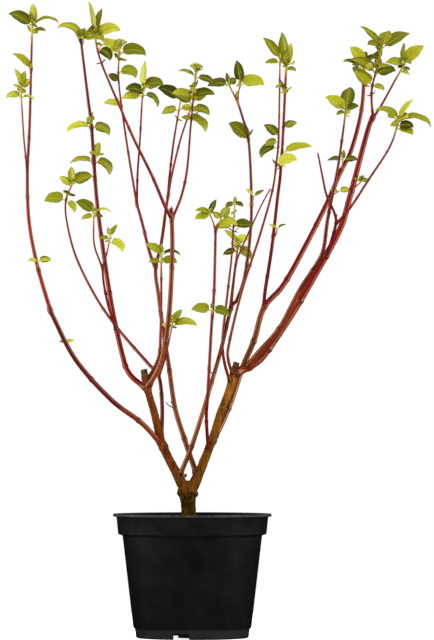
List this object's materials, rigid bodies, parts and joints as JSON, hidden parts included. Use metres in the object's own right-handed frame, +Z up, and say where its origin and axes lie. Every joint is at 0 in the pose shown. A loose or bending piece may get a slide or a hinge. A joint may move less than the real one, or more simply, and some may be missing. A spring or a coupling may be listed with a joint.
{
  "type": "potted dogwood shrub",
  "caption": "Young red-stemmed dogwood shrub with opposite yellow-green leaves, cut back and regrown, in a round nursery pot filled with compost",
  "frame": {"origin": "centre of the pot's flat underside, on the surface that it stands on", "axes": "+Z up the trunk; +X to the right and -Y toward the viewer in the view that shows the crown's fan widest"},
  "size_m": [0.5995, 0.4507, 0.8952],
  "materials": {
    "pot": "near-black moulded plastic, faintly scuffed",
    "compost": "moist bark compost, crumbly",
    "bark": "ochre-brown bark with darker ridges",
    "shoots": "smooth red young bark",
    "foliage": "soft yellow-green leaves, slightly satin"
  },
  "bodies": {
    "root": {"bare_twig": "shoots", "centre_bough": "shoots", "centre_leaves": "foliage", "centre_left_leaves": "foliage", "centre_right_leaves": "foliage", "compost": "compost", "dark_bough": "shoots", "far_left_leaves": "foliage", "far_right_bough": "shoots", "far_right_leaves": "foliage", "front_bough": "shoots", "front_leaves": "foliage", "front_left_bough": "shoots", "front_left_leaves": "foliage", "front_low_leaves": "foliage", "front_middle_bough": "shoots", "front_middle_leaves": "foliage", "front_right_bough": "shoots", "inner_left_bough": "shoots", "left_bough": "shoots", "left_leaves": "foliage", "left_stem": "bark", "low_left_bough": "shoots", "low_left_leaves": "foliage", "low_left_sprig": "shoots", "low_middle_leaves": "foliage", "middle_bough": "shoots", "middle_leaves": "foliage", "outer_bud_leaves": "foliage", "outer_left_bough": "shoots", "outer_left_bud_leaves": "foliage", "outer_left_leaves": "foliage", "outer_left_twig": "shoots", "outer_right_bough": "shoots", "outer_right_leaves": "foliage", "pot": "pot", "rear_bud_leaves": "foliage", "rear_left_bough": "shoots", "rear_left_leaves": "foliage", "rear_middle_bough": "shoots", "rear_middle_leaves": "foliage", "rear_right_bough": "shoots", "rear_right_leaves": "foliage", "right_bough": "shoots", "right_bud_leaves": "foliage", "right_leaves": "foliage", "right_side_leaves": "foliage", "right_stem": "bark", "short_bough": "shoots", "side_bough": "shoots", "slim_bough": "shoots", "tall_bough": "shoots", "tall_bud_leaves": "foliage", "tall_front_leaves": "foliage", "tall_leaves": "foliage", "trunk": "bark", "upper_right_bough": "shoots", "upper_right_leaves": "foliage"}
  },
  "joints": []
}
